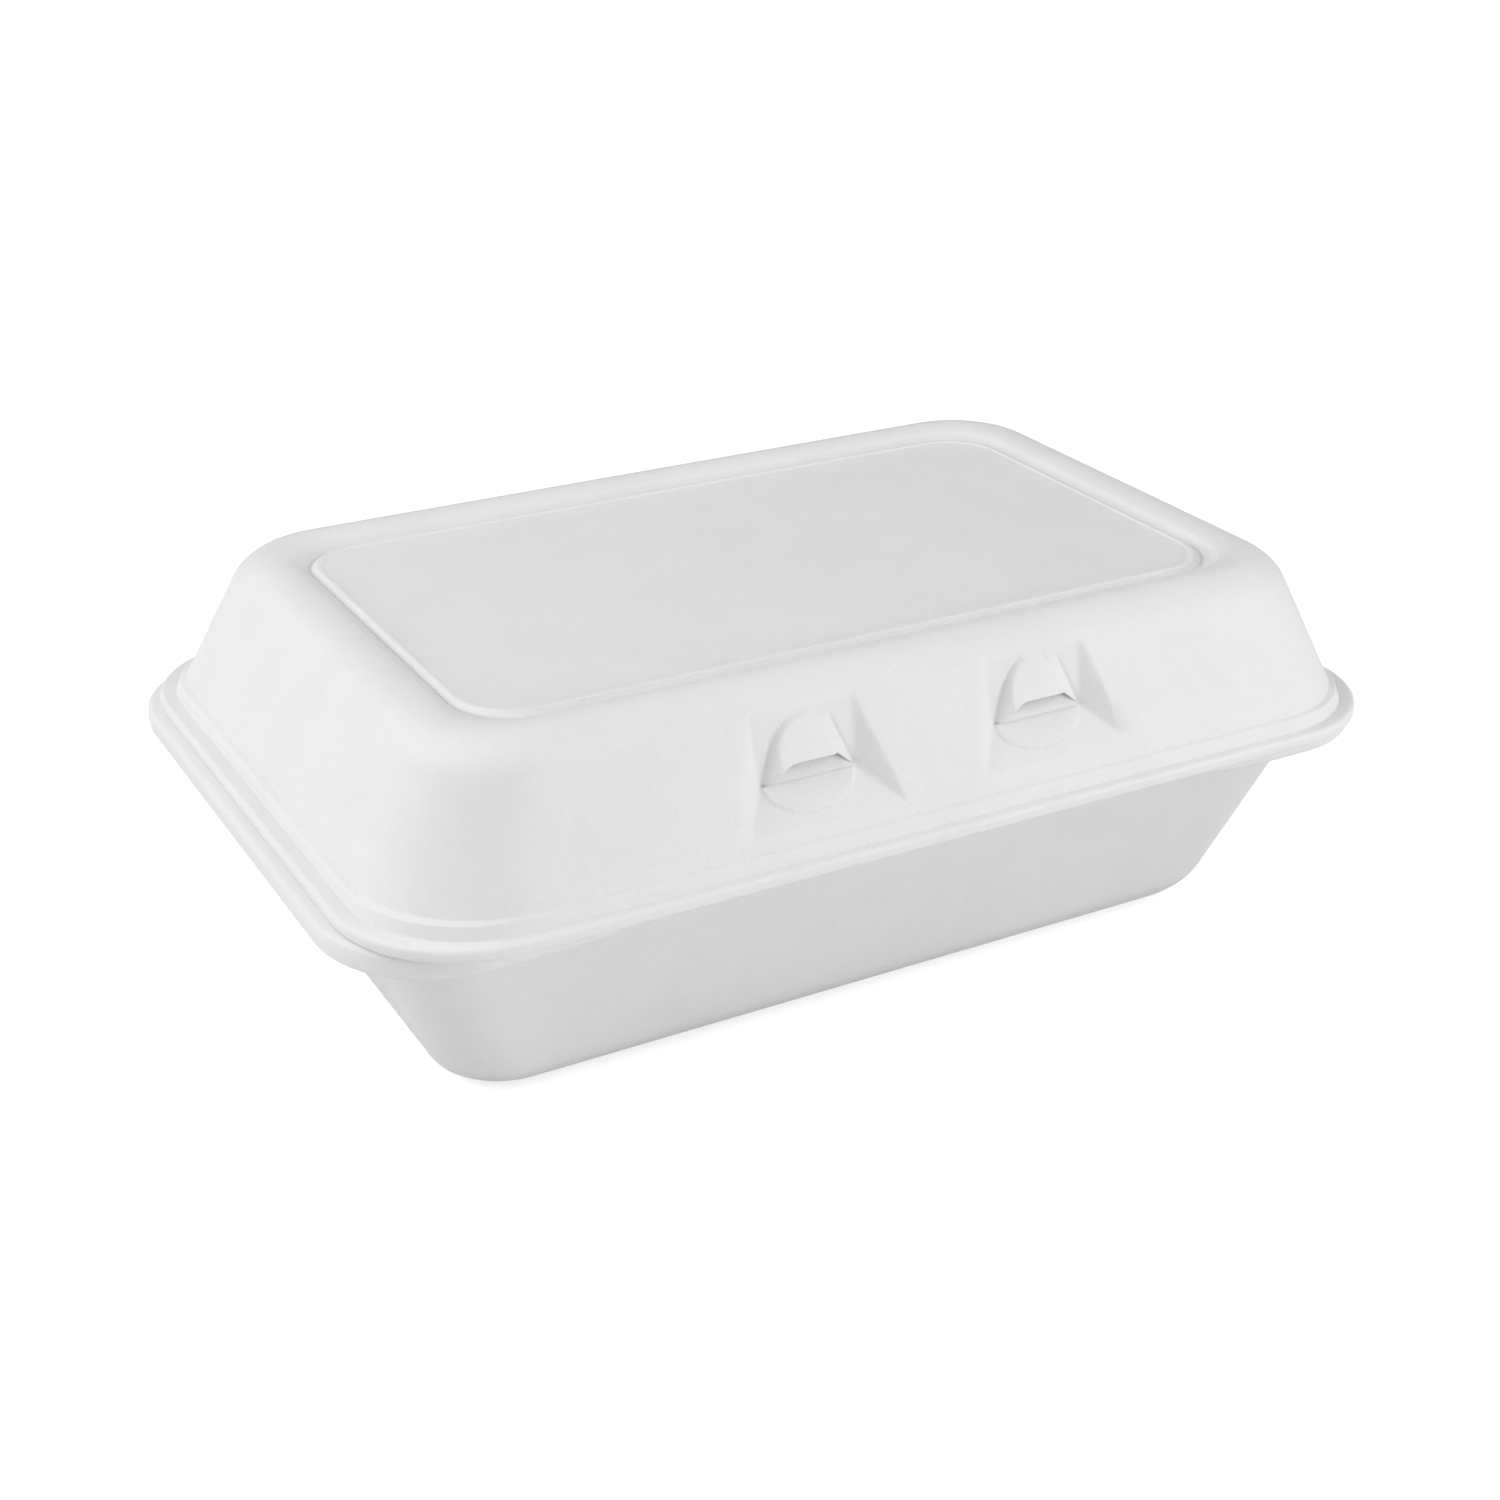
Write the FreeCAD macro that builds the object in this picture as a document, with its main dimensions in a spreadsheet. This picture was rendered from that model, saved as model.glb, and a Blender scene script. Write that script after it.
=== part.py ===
import FreeCAD, Part
import math
import os
import re

from FreeCAD import Placement, Rotation, Vector
from Sketcher import Constraint

# Foam clamshell container: a deep tray and its lid, both formed from one thin sheet of
# foamed plastic that is crushed to a fold line along the rear rim.
# Millimetres. The origin is the middle of the tray's resting face, +X along the long side,
# +Y towards the fold, +Z up. The lid is modelled shut.

SIZES = [
    # the sheet
    ("sheet_thickness", 2.2),
    # the tray, outside
    ("rim_length", 229.0),
    ("rim_depth", 145.5),
    ("rim_corner", 23.5),
    ("rim_height", 48.4),
    ("rim_bevel", 1.0),
    ("lip_drop", 2.6),
    ("front_lip_start", 47.0),
    ("wall_top_inset", 8.8),
    ("floor_inset_end", 26.8),
    ("floor_inset_side", 23.6),
    ("wall_corner", 14.0),
    ("floor_round", 12.0),
    # the lid's rim
    ("lid_gap", 0.15),
    ("lid_inset_end", 2.36),
    ("lid_overhang", 5.3),
    ("lid_corner", 25.8),
    ("seat_width", 7.0),
    ("ridge_inset", 1.3),
    ("ridge_height", 2.8),
    ("ridge_bevel", 0.4),
    ("ledge_round", 1.2),
    # the lid's walls, from the rim's edge
    ("foot_inset_end", 4.1),
    ("foot_inset_front", 2.35),
    ("foot_inset_back", 2.75),
    ("foot_corner", 24.4),
    ("top_inset_end", 17.4),
    ("top_inset_front", 13.9),
    ("top_inset_back", 16.5),
    ("top_corner", 18.75),
    ("overall_height", 81.7),
    ("crest_round", 8.85),
    # the sunk panel in the lid's top, from the walls' sharp upper outline
    ("hump_width", 7.0),
    ("hump_corner", 12.4),
    ("hump_round", 2.2),
    ("valley_width", 3.0),
    ("valley_depth", 2.4),
    ("valley_corner", 12.0),
    ("panel_inset_end", 12.7),
    ("panel_inset_side", 13.8),
    ("panel_corner", 11.6),
    ("panel_rise", 0.74),
    ("bead_width", 0.8),
    ("bead_height", 0.35),
    # the two locks in the front walls
    ("lock_spacing", 50.8),
    ("pocket_top_drop", 4.5),
    ("pocket_top_half", 10.3),
    ("crease_height", 65.0),
    ("crease_half", 10.2),
    ("crease_depth", 2.8),
    ("pocket_foot_height", 59.3),
    ("pocket_foot_half", 15.4),
    ("dome_half", 8.4),
    ("dome_reach", 5.6),
    ("slit_height", 2.3),
    ("flap_radius", 7.0),
    ("flap_proud", 0.5),
    ("tongue_half", 8.6),
    ("tongue_length", 19.4),
    ("tongue_corner", 5.0),
    ("tongue_setback", 2.45),
    ("tongue_lean", 18.0),
    # the crushed fold
    ("fold_length", 170.0),
    ("fold_width", 2.6),
    ("fold_thickness", 0.5),
]

doc = FreeCAD.newDocument("foam_container")
sheet = doc.addObject("Spreadsheet::Sheet", "sizes")
for row, (alias, number) in enumerate(SIZES, start=1):
    sheet.set(f"A{row}", alias)
    sheet.set(f"B{row}", str(number))
    sheet.setAlias(f"B{row}", alias)
doc.recompute()
ALIASES = {alias for alias, number in SIZES}


def bound(text):
    """An expression in which each size is read from the sheet."""
    return re.sub(r"[a-z][a-z_]*", lambda word: "sizes." + word[0] if word[0] in ALIASES else word[0], text)


def size(text):
    """The present value of an expression on the sizes."""
    return float(sheet.evalExpression(bound(text)))


def bind(thing, **expressions):
    """Each named property follows its expression."""
    for name, text in expressions.items():
        thing.setExpression(name, bound(text))


def place(thing, x="0", y="0", z="0"):
    """The piece's own place follows three expressions."""
    for axis, text in zip("xyz", (x, y, z)):
        thing.setExpression(f".Placement.Base.{axis}", bound(text))


def attached_sketch(body, name, role, offset="0"):
    """A sketch on one of the body's origin planes, moved along its normal by an expression."""
    sketch = body.newObject("Sketcher::SketchObject", name)
    plane = next(feature for feature in body.Origin.OriginFeatures if feature.Role == role)
    sketch.AttachmentSupport = [(plane, "")]
    sketch.MapMode = "FlatFace"
    sketch.setExpression(".AttachmentOffset.Base.z", bound(offset))
    return sketch


def measure(sketch, name, constraint, expression):
    """A named dimension of the sketch that follows an expression."""
    sketch.renameConstraint(sketch.addConstraint(constraint), name)
    sketch.setExpression(f"Constraints.{name}", bound(expression))


def outline(around, end, front, back, corner, height):
    """The outline that lies inside another by its own amount on each side."""
    return {
        "half": f"{around['half']} - ({end})",
        "front": f"{around['front']} - ({front})",
        "back": f"{around['back']} - ({back})",
        "corner": corner,
        "height": height,
    }


def at_height(around, height):
    """The same outline at another height."""
    return dict(around, height=height)


def add_rounded_rectangle(sketch, shape, tag):
    """Four lines and four tangent arcs, whose length, front, back and corner follow the sizes."""
    right, front, far, corner = (size(shape[key]) for key in ("half", "front", "back", "corner"))
    left, near = -right, -front
    first = sketch.GeometryCount
    lines = [
        (Vector(left + corner, near, 0), Vector(right - corner, near, 0)),
        (Vector(right, near + corner, 0), Vector(right, far - corner, 0)),
        (Vector(right - corner, far, 0), Vector(left + corner, far, 0)),
        (Vector(left, far - corner, 0), Vector(left, near + corner, 0)),
    ]
    corners = [
        (Vector(right - corner, near + corner, 0), 270),
        (Vector(right - corner, far - corner, 0), 0),
        (Vector(left + corner, far - corner, 0), 90),
        (Vector(left + corner, near + corner, 0), 180),
    ]
    for start, end in lines:
        sketch.addGeometry(Part.LineSegment(start, end), False)
    for centre, turned in corners:
        circle = Part.Circle(centre, Vector(0, 0, 1), corner)
        sketch.addGeometry(Part.ArcOfCircle(circle, math.radians(turned), math.radians(turned + 90)), False)
    line = [first + k for k in range(4)]
    arc = [first + 4 + k for k in range(4)]
    for k in range(4):
        sketch.addConstraint(Constraint("Tangent", line[k], 2, arc[k], 1))
        sketch.addConstraint(Constraint("Tangent", arc[k], 2, line[(k + 1) % 4], 1))
    for k in (1, 2, 3):
        sketch.addConstraint(Constraint("Equal", arc[0], arc[k]))
    sketch.addConstraint(Constraint("Horizontal", line[0]))
    sketch.addConstraint(Constraint("Vertical", line[1]))
    measure(sketch, "right" + tag, Constraint("DistanceX", -1, 1, line[1], 1, right), shape["half"])
    measure(sketch, "left" + tag, Constraint("DistanceX", line[3], 1, -1, 1, right), shape["half"])
    measure(sketch, "front" + tag, Constraint("DistanceY", line[0], 1, -1, 1, front), shape["front"])
    measure(sketch, "back" + tag, Constraint("DistanceY", -1, 1, line[2], 1, far), shape["back"])
    measure(sketch, "corner" + tag, Constraint("Radius", arc[0], corner), shape["corner"])


def outline_sketch(body, name, *shapes):
    """A level sketch of one rounded rectangle, or of a ring between two."""
    sketch = attached_sketch(body, name, "XY_Plane", shapes[0]["height"])
    for number, shape in enumerate(shapes):
        add_rounded_rectangle(sketch, shape, "" if number == 0 else "_inner")
    return sketch


def loft(body, name, shapes, kind="PartDesign::AdditiveLoft"):
    """Straight walls from each outline to the next."""
    sketches = [outline_sketch(body, f"{name}_outline_{k}", shape) for k, shape in enumerate(shapes)]
    feature = body.newObject(kind, name)
    feature.Profile = sketches[0]
    feature.Sections = sketches[1:]
    feature.Ruled = True
    doc.recompute()
    return feature


def frustum(name, low, high):
    """Four flat leaning walls between two level rectangles, with sharp corners."""
    feature = doc.addObject("Part::Wedge", name)
    bind(feature, Xmin=f"0 - ({low['half']})", Xmax=low["half"], Zmin=f"0 - ({low['back']})", Zmax=low["front"],
         X2min=f"0 - ({high['half']})", X2max=high["half"], Z2min=f"0 - ({high['back']})", Z2max=high["front"],
         Ymin=low["height"], Ymax=high["height"])
    feature.Placement = Placement(Vector(0, 0, 0), Rotation(Vector(1, 0, 0), 90))
    doc.recompute()
    return feature


def round_corners(name, walls, low, high):
    """The frustum with its slanting corners rounded, so that each level section has the radius that
    the two outlines give it. Square to a corner, between walls that lean by a and b, the radius
    is r / ((1 - c) * sqrt(A * B)), where A = sqrt(1 + a^2), B = sqrt(1 + b^2) and c = a * b / (A * B)."""
    rise = size(high["height"]) - size(low["height"])
    end_lean = (size(low["half"]) - size(high["half"])) / rise
    edges = []
    for number, edge in enumerate(walls.Shape.Edges, start=1):
        if edge.BoundBox.ZLength < rise / 2:
            continue
        side = "front" if edge.CenterOfMass.y < 0 else "back"
        side_lean = (size(low[side]) - size(high[side])) / rise
        slope = math.hypot(1, end_lean) * math.hypot(1, side_lean)
        square = (1 - end_lean * side_lean / slope) * math.sqrt(slope)
        radii = [size(low["corner"]) / square, size(high["corner"]) / square]
        if edge.valueAt(edge.FirstParameter).z > edge.valueAt(edge.LastParameter).z:
            radii.reverse()
        edges.append((number, *radii))
    feature = doc.addObject("Part::Fillet", name)
    feature.Base = walls
    feature.Edges = edges
    doc.recompute()
    return feature


def round_level_edges(name, walls, height, radius):
    """The walls with a round where they meet their level face at a height."""
    level = size(height)
    feature = doc.addObject("Part::Fillet", name)
    feature.Base = walls
    feature.Edges = [
        (number, size(radius), size(radius)) for number, edge in enumerate(walls.Shape.Edges, start=1)
        if abs(edge.BoundBox.ZMin - level) < 0.01 and abs(edge.BoundBox.ZMax - level) < 0.01]
    doc.recompute()
    return feature


def body_on(name, walls):
    """A body whose further features build on the walls."""
    body = doc.addObject("PartDesign::Body", name)
    body.BaseFeature = walls
    doc.recompute()
    return body


def pad(body, name, sketch, height):
    """The sketch raised by an expression."""
    feature = body.newObject("PartDesign::Pad", name)
    feature.Profile = sketch
    bind(feature, Length=height)
    doc.recompute()
    return feature


def off_outline(point, shape):
    """How far a point seen from above lies from a rounded rectangle."""
    half, front, back, corner = (size(shape[key]) for key in ("half", "front", "back", "corner"))
    along = abs(point.x) - half + corner
    across = abs(point.y - (back - front) / 2) - (front + back) / 2 + corner
    reach = math.hypot(max(along, 0), max(across, 0)) + min(max(along, across), 0)
    return abs(reach - corner)


def edges_along(base, shape):
    """The names of a feature's edges that follow an outline at its height."""
    level = size(shape["height"])

    def follows(edge):
        box = edge.BoundBox
        middle = edge.valueAt((edge.FirstParameter + edge.LastParameter) / 2)
        flat = max(abs(box.ZMin - level), abs(box.ZMax - level)) < 0.02
        return flat and off_outline(middle, shape) < 0.5

    return [f"Edge{k}" for k, edge in enumerate(base.Shape.Edges, start=1) if follows(edge)]


def fillet(body, name, base, shape, radius):
    """A round along an outline."""
    feature = body.newObject("PartDesign::Fillet", name)
    feature.Base = (base, edges_along(base, shape))
    bind(feature, Radius=radius)
    doc.recompute()
    return feature


def bevel(body, name, base, shape, width):
    """A bevel along an outline."""
    feature = body.newObject("PartDesign::Chamfer", name)
    feature.Base = (base, edges_along(base, shape))
    bind(feature, Size=width)
    doc.recompute()
    return feature


def lean(low, high, rise):
    """How far a wall leans for each millimetre of its height."""
    return f"(({high}) - ({low})) / ({rise})"


def across(wall_lean):
    """The level thickness of a leaning sheet."""
    return f"sheet_thickness * sqrt(1 + pow({wall_lean}; 2))"


def cut(name, base, tool):
    """One shape without another."""
    feature = doc.addObject("Part::Cut", name)
    feature.Base = base
    feature.Tool = tool
    doc.recompute()
    return feature


def fuse(name, shapes):
    """Several shapes joined."""
    feature = doc.addObject("Part::MultiFuse", name)
    feature.Shapes = shapes
    doc.recompute()
    return feature


# The outlines of the tray, from the rim inwards.
flange_level = "rim_height - sheet_thickness"
tray_rim = {
    "half": "rim_length / 2",
    "front": "rim_depth / 2",
    "back": "rim_depth / 2",
    "corner": "rim_corner",
    "height": flange_level,
}
tray_floor = outline(tray_rim, "floor_inset_end", "floor_inset_side", "floor_inset_side", "wall_corner", "0")
tray_wall_top = outline(
    tray_rim, "wall_top_inset", "wall_top_inset", "wall_top_inset", "wall_corner", flange_level)

# The tray's outside: leaning walls with a large round at the floor, a level rim, and the rim's
# edge turned down into a lip.
tray_walls = round_corners(
    "tray_corners", frustum("tray_walls", tray_floor, tray_wall_top), tray_floor, tray_wall_top)
tray_outside = body_on("tray_outside", round_level_edges("tray_floor_round", tray_walls, "0", "floor_round"))
pad(tray_outside, "tray_rim", outline_sketch(tray_outside, "tray_rim_outline", tray_rim), "sheet_thickness")
lip_outer = at_height(tray_rim, "rim_height - sheet_thickness - lip_drop")
lip_inner = outline(
    lip_outer, "sheet_thickness", "sheet_thickness", "sheet_thickness", "rim_corner - sheet_thickness",
    lip_outer["height"])
tray_lip = pad(
    tray_outside, "tray_lip", outline_sketch(tray_outside, "tray_lip_outline", lip_outer, lip_inner), "lip_drop")
bevel(tray_outside, "tray_rim_bevel", tray_lip, at_height(tray_rim, "rim_height"), "rim_bevel")


def trim_front_lip():
    """The lip fades out towards the front edge: seen from the end, a slanted cut beneath the rim."""
    sketch = attached_sketch(tray_outside, "front_lip_profile", "YZ_Plane")
    lip_level = "rim_height - sheet_thickness - lip_drop"
    beyond = "rim_depth / 2 + sheet_thickness"
    low, high = size(lip_level), size(flange_level)
    start, edge, outer = size("front_lip_start"), size("rim_depth / 2"), size(beyond)
    corners = [Vector(-start, low, 0), Vector(-edge, high, 0), Vector(-outer, high, 0), Vector(-outer, low, 0)]
    for k in range(4):
        sketch.addGeometry(Part.LineSegment(corners[k], corners[(k + 1) % 4]), False)
    for k in range(4):
        sketch.addConstraint(Constraint("Coincident", k, 2, (k + 1) % 4, 1))
    sketch.addConstraint(Constraint("Horizontal", 1))
    sketch.addConstraint(Constraint("Vertical", 2))
    sketch.addConstraint(Constraint("Horizontal", 3))
    measure(sketch, "start", Constraint("DistanceX", 0, 1, -1, 1, start), "front_lip_start")
    measure(sketch, "low", Constraint("DistanceY", -1, 1, 0, 1, low), lip_level)
    measure(sketch, "edge", Constraint("DistanceX", 1, 1, -1, 1, edge), "rim_depth / 2")
    measure(sketch, "high", Constraint("DistanceY", -1, 1, 1, 1, high), flange_level)
    measure(sketch, "beyond", Constraint("DistanceX", 2, 1, -1, 1, outer), beyond)
    feature = tray_outside.newObject("PartDesign::Pocket", "front_lip_trim")
    feature.Profile = sketch
    feature.Midplane = True
    bind(feature, Length="rim_length")
    doc.recompute()


trim_front_lip()

# The tray's inside: the same walls a sheet's thickness further in.
end_lean = lean("wall_top_inset", "floor_inset_end", flange_level)
side_lean = lean("wall_top_inset", "floor_inset_side", flange_level)
end_step = f"{across(end_lean)} - sheet_thickness * {end_lean}"
side_step = f"{across(side_lean)} - sheet_thickness * {side_lean}"
inner_corner = "wall_corner - sheet_thickness"
cavity_floor = outline(tray_floor, end_step, side_step, side_step, inner_corner, "sheet_thickness")
cavity_mouth = outline(tray_wall_top, end_step, side_step, side_step, inner_corner, "rim_height")
tray_cavity = round_corners(
    "cavity_corners", frustum("tray_cavity", cavity_floor, cavity_mouth), cavity_floor, cavity_mouth)
tray_inside = round_level_edges(
    "tray_inside", tray_cavity, "sheet_thickness", "floor_round - sheet_thickness")

# The outlines of the lid, from the rim inwards and upwards.
lid_level = "rim_height + lid_gap"
foot_level = "rim_height + lid_gap + ridge_height"
lid_rise = "overall_height - rim_height - lid_gap - ridge_height"
lid_rim = {
    "half": "rim_length / 2 - lid_inset_end",
    "front": "rim_depth / 2 + lid_overhang",
    "back": "rim_depth / 2",
    "corner": "lid_corner",
    "height": lid_level,
}
lid_ridge = outline(
    lid_rim, "ridge_inset", "ridge_inset", "ridge_inset", "lid_corner - ridge_inset", foot_level)
lid_foot = outline(
    lid_rim, "foot_inset_end", "foot_inset_front", "foot_inset_back", "foot_corner", foot_level)
lid_top = outline(
    lid_rim, "top_inset_end", "top_inset_front", "top_inset_back", "top_corner", "overall_height")

# The sunk panel's outlines, from the walls' sharp upper outline inwards.
hump = outline(lid_top, "hump_width", "hump_width", "hump_width", "hump_corner", "overall_height")
valley_level = "overall_height - valley_depth"
valley = outline(hump, "valley_width", "valley_width", "valley_width", "valley_corner", valley_level)
panel_level = "overall_height - valley_depth + panel_rise"
panel = outline(lid_top, "panel_inset_end", "panel_inset_side", "panel_inset_side", "panel_corner", panel_level)
panel_foot = outline(
    panel, "0 - panel_rise", "0 - panel_rise", "0 - panel_rise", "panel_corner + panel_rise", valley_level)
bead_inner = outline(panel, "bead_width", "bead_width", "bead_width", "panel_corner - bead_width", panel_level)

# The lid's outside: a raised rim, leaning walls, a broad rounded crest, and a top panel that
# lies sunk inside a shallow valley, with a fine bead round its edge.
lid_walls = round_corners("lid_corners", frustum("lid_walls", lid_foot, lid_top), lid_foot, lid_top)
lid_outside = body_on("lid_outside", round_level_edges("lid_crest", lid_walls, "overall_height", "crest_round"))
lid_edge = loft(lid_outside, "lid_rim", [lid_rim, lid_ridge])
lid_ledge = fillet(lid_outside, "lid_ledge_round", lid_edge, lid_foot, "ledge_round")
bevel(lid_outside, "lid_ridge_bevel", lid_ledge, lid_ridge, "ridge_bevel")
lid_recess = loft(lid_outside, "lid_recess", [hump, valley], "PartDesign::SubtractiveLoft")
fillet(lid_outside, "lid_hump_round", lid_recess, hump, "hump_round")
loft(lid_outside, "lid_panel", [panel_foot, panel])
pad(lid_outside, "lid_bead", outline_sketch(lid_outside, "lid_bead_outline", panel, bead_inner), "bead_height")

# The lid's inside: a flat seat on the tray's rim, then the same walls, crest and panel a
# sheet's thickness further in.
lid_leans = [lean(f"foot_inset_{side}", f"top_inset_{side}", lid_rise) for side in ("end", "front", "back")]
foot_steps = [across(wall_lean) for wall_lean in lid_leans]
top_steps = [f"{across(wall_lean)} - sheet_thickness * {wall_lean}" for wall_lean in lid_leans]
seat = outline(lid_rim, "seat_width", "seat_width", "seat_width", "lid_corner - seat_width", lid_level)
inner_foot = outline(lid_foot, *foot_steps, f"foot_corner - {foot_steps[1]}", foot_level)
inner_top = outline(
    lid_top, *top_steps, f"top_corner - ({top_steps[1]})", "overall_height - sheet_thickness")
lid_hollow = round_corners("hollow_corners", frustum("lid_hollow", inner_foot, inner_top), inner_foot, inner_top)
lid_inside = body_on("lid_inside", round_level_edges(
    "hollow_crest", lid_hollow, "overall_height - sheet_thickness", "crest_round - sheet_thickness"))
loft(lid_inside, "lid_seat", [seat, inner_foot])
valley_lean = "valley_depth / valley_width"
valley_step = f"sheet_thickness * (1 - sqrt(1 + pow({valley_lean}; 2))) / ({valley_lean})"
under_hump = outline(
    hump, valley_step, valley_step, valley_step, "hump_corner", "overall_height - sheet_thickness")
under_valley = outline(
    valley, valley_step, valley_step, valley_step, "valley_corner",
    "overall_height - sheet_thickness - valley_depth")
loft(lid_inside, "panel_underside", [under_hump, under_valley], "PartDesign::SubtractiveLoft")
loft(lid_inside, "panel_hollow", [
    at_height(panel_foot, "overall_height - sheet_thickness - valley_depth"),
    at_height(panel, "overall_height - sheet_thickness - valley_depth + panel_rise"),
])

# Sizes of the front wall and of the locks, worked out for the faceted pocket.
front_lean = size(lid_leans[1])
front_across = size(across(lid_leans[1]))
foot_height = size(foot_level)
foot_y = -size(lid_foot["front"])
top_z = size("overall_height - pocket_top_drop")
crease_z, low_z = size("crease_height"), size("pocket_foot_height")
lip_z = "crease_height + slit_height"


def wall_y(height):
    """Where the lid's front wall stands at a height."""
    return foot_y + (height - foot_height) * front_lean


crease_y = wall_y(crease_z) + size("crease_depth")
upper_lean = (wall_y(top_z) - crease_y) / (top_z - crease_z)
lower_angle = math.degrees(math.atan2(crease_y - wall_y(low_z), crease_z - low_z))
hood_y = crease_y + upper_lean * size("slit_height")


def pocket(name, middle, inwards, wider):
    """The pressed-in pocket as a closed wedge: a steep upper face from the top edge down to the
    crease, a lower face that slopes out from the crease, and a three-cornered facet at each end."""
    out = Vector(0, -size("dome_reach"), 0)
    levels = [
        (size("pocket_top_half"), wall_y(top_z), top_z),
        (size("crease_half"), crease_y, crease_z),
        (size("pocket_foot_half"), wall_y(low_z), low_z),
    ]
    left, right = [
        [Vector(middle + way * (half + wider), y + inwards, z) for half, y, z in levels] for way in (-1, 1)]
    faces = [
        [left[0], right[0], right[1], left[1]],
        [left[1], right[1], right[2], left[2]],
        [left[0], left[1], left[2]],
        [right[0], right[2], right[1]],
        [left[0], left[2], left[2] + out, left[0] + out],
        [right[0], right[0] + out, right[2] + out, right[2]],
        [left[0], left[0] + out, right[0] + out, right[0]],
        [left[2], right[2], right[2] + out, left[2] + out],
        [left[0] + out, left[2] + out, right[2] + out, right[0] + out],
    ]
    shell = Part.makeShell([Part.Face(Part.makePolygon(corners + corners[:1])) for corners in faces])
    solid = Part.makeSolid(shell)
    if solid.Volume < 0:
        solid.reverse()
    feature = doc.addObject("Part::Feature", name)
    feature.Shape = solid
    return feature


def hood(name, middle, thinner):
    """The upper half of a ball, sunk into the pocket's upper face so that it stands out of that
    face by the hood's reach and spans its width there."""
    ball = "(dome_half * dome_half + dome_reach * dome_reach) / (2 * dome_reach)"
    feature = doc.addObject("Part::Sphere", name)
    bind(feature, Radius=f"{ball} - {thinner}")
    feature.Angle1 = 0
    feature.Angle2 = 90
    place(feature, middle, f"{ball} - dome_reach + {hood_y}", lip_z)
    return feature


def flap(name, middle):
    """The half-round pad on the pocket's lower face, square to that face."""
    feature = doc.addObject("Part::Cylinder", name)
    bind(feature, Radius="flap_radius", Height="flap_proud + sheet_thickness / 2")
    feature.Angle = 180
    feature.Placement = Placement(Vector(0, 0, 0), Rotation(Vector(1, 0, 0), 90 - lower_angle) * Rotation(
        Vector(0, 0, 1), 180))
    inwards = feature.Placement.Rotation.multVec(Vector(0, 0, -size("sheet_thickness") / 2))
    place(feature, middle, f"{crease_y + inwards.y}", f"{crease_z + inwards.z}")
    return feature


def slit(name, middle):
    """The cut through the sheet between the crease and the hood's lip."""
    feature = doc.addObject("Part::Box", name)
    bind(feature, Length="2 * dome_half", Width="2 * sheet_thickness", Height="slit_height")
    place(feature, f"{middle} - dome_half", f"{crease_y} - sheet_thickness / 2", "crease_height")
    return feature


def tongue(name, middle):
    """The tray's tongue: a strip of the sheet with round upper corners, leaning in behind the slit."""
    body = doc.addObject("PartDesign::Body", name)
    sketch = attached_sketch(body, name + "_outline", "XZ_Plane")
    half, tall, corner = size("tongue_half"), size("tongue_length"), size("tongue_corner")
    sketch.addGeometry(Part.LineSegment(Vector(-half, 0, 0), Vector(half, 0, 0)), False)
    sketch.addGeometry(Part.LineSegment(Vector(half, 0, 0), Vector(half, tall - corner, 0)), False)
    for start, centre_x in ((0, half - corner), (90, corner - half)):
        circle = Part.Circle(Vector(centre_x, tall - corner, 0), Vector(0, 0, 1), corner)
        sketch.addGeometry(Part.ArcOfCircle(circle, math.radians(start), math.radians(start + 90)), False)
    sketch.addGeometry(Part.LineSegment(Vector(half - corner, tall, 0), Vector(corner - half, tall, 0)), False)
    sketch.addGeometry(Part.LineSegment(Vector(-half, tall - corner, 0), Vector(-half, 0, 0)), False)
    sketch.addConstraint(Constraint("Coincident", 0, 2, 1, 1))
    sketch.addConstraint(Constraint("Tangent", 1, 2, 2, 1))
    sketch.addConstraint(Constraint("Tangent", 2, 2, 4, 1))
    sketch.addConstraint(Constraint("Tangent", 4, 2, 3, 1))
    sketch.addConstraint(Constraint("Tangent", 3, 2, 5, 1))
    sketch.addConstraint(Constraint("Coincident", 5, 2, 0, 1))
    sketch.addConstraint(Constraint("Horizontal", 0))
    sketch.addConstraint(Constraint("Vertical", 1))
    sketch.addConstraint(Constraint("Equal", 2, 3))
    sketch.addConstraint(Constraint("PointOnObject", 0, 1, -1))
    measure(sketch, "right", Constraint("DistanceX", -1, 1, 0, 2, half), "tongue_half")
    measure(sketch, "left", Constraint("DistanceX", 0, 1, -1, 1, half), "tongue_half")
    measure(sketch, "tall", Constraint("DistanceY", -1, 1, 4, 1, tall), "tongue_length")
    measure(sketch, "corner", Constraint("Radius", 2, corner), "tongue_corner")
    pad(body, name + "_sheet", sketch, "sheet_thickness")
    body.Placement = Placement(Vector(0, 0, 0), Rotation(Vector(1, 0, 0), -size("tongue_lean")))
    place(body, middle, "tongue_setback + sheet_thickness - rim_depth / 2", "rim_height - sheet_thickness / 2")
    return body


pocket_cuts, pocket_backs, hoods, hood_hollows, flaps, slits, tongues = [], [], [], [], [], [], []
for side, way in (("left", -1), ("right", 1)):
    middle = f"{way} * lock_spacing / 2"
    pocket_cuts.append(pocket(f"pocket_{side}", size(middle), 0, 0))
    pocket_backs.append(pocket(f"pocket_back_{side}", size(middle), front_across, size("sheet_thickness")))
    hoods.append(hood(f"hood_{side}", middle, "0"))
    hood_hollows.append(hood(f"hood_hollow_{side}", middle, "sheet_thickness"))
    flaps.append(flap(f"flap_{side}", middle))
    slits.append(slit(f"slit_{side}", middle))
    tongues.append(tongue(f"tongue_{side}", middle))

# The tray is one piece with its two tongues and its half of the fold.
fold = doc.addObject("Part::Box", "tray_fold")
bind(fold, Length="fold_length", Width="fold_width", Height="fold_thickness")
place(fold, "0 - fold_length / 2", "rim_depth / 2 - fold_width", "rim_height - fold_thickness")
tray_shell = cut("tray_shell", tray_outside, tray_inside)
base_tray = fuse("base_tray", [tray_shell, fold] + tongues)

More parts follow.
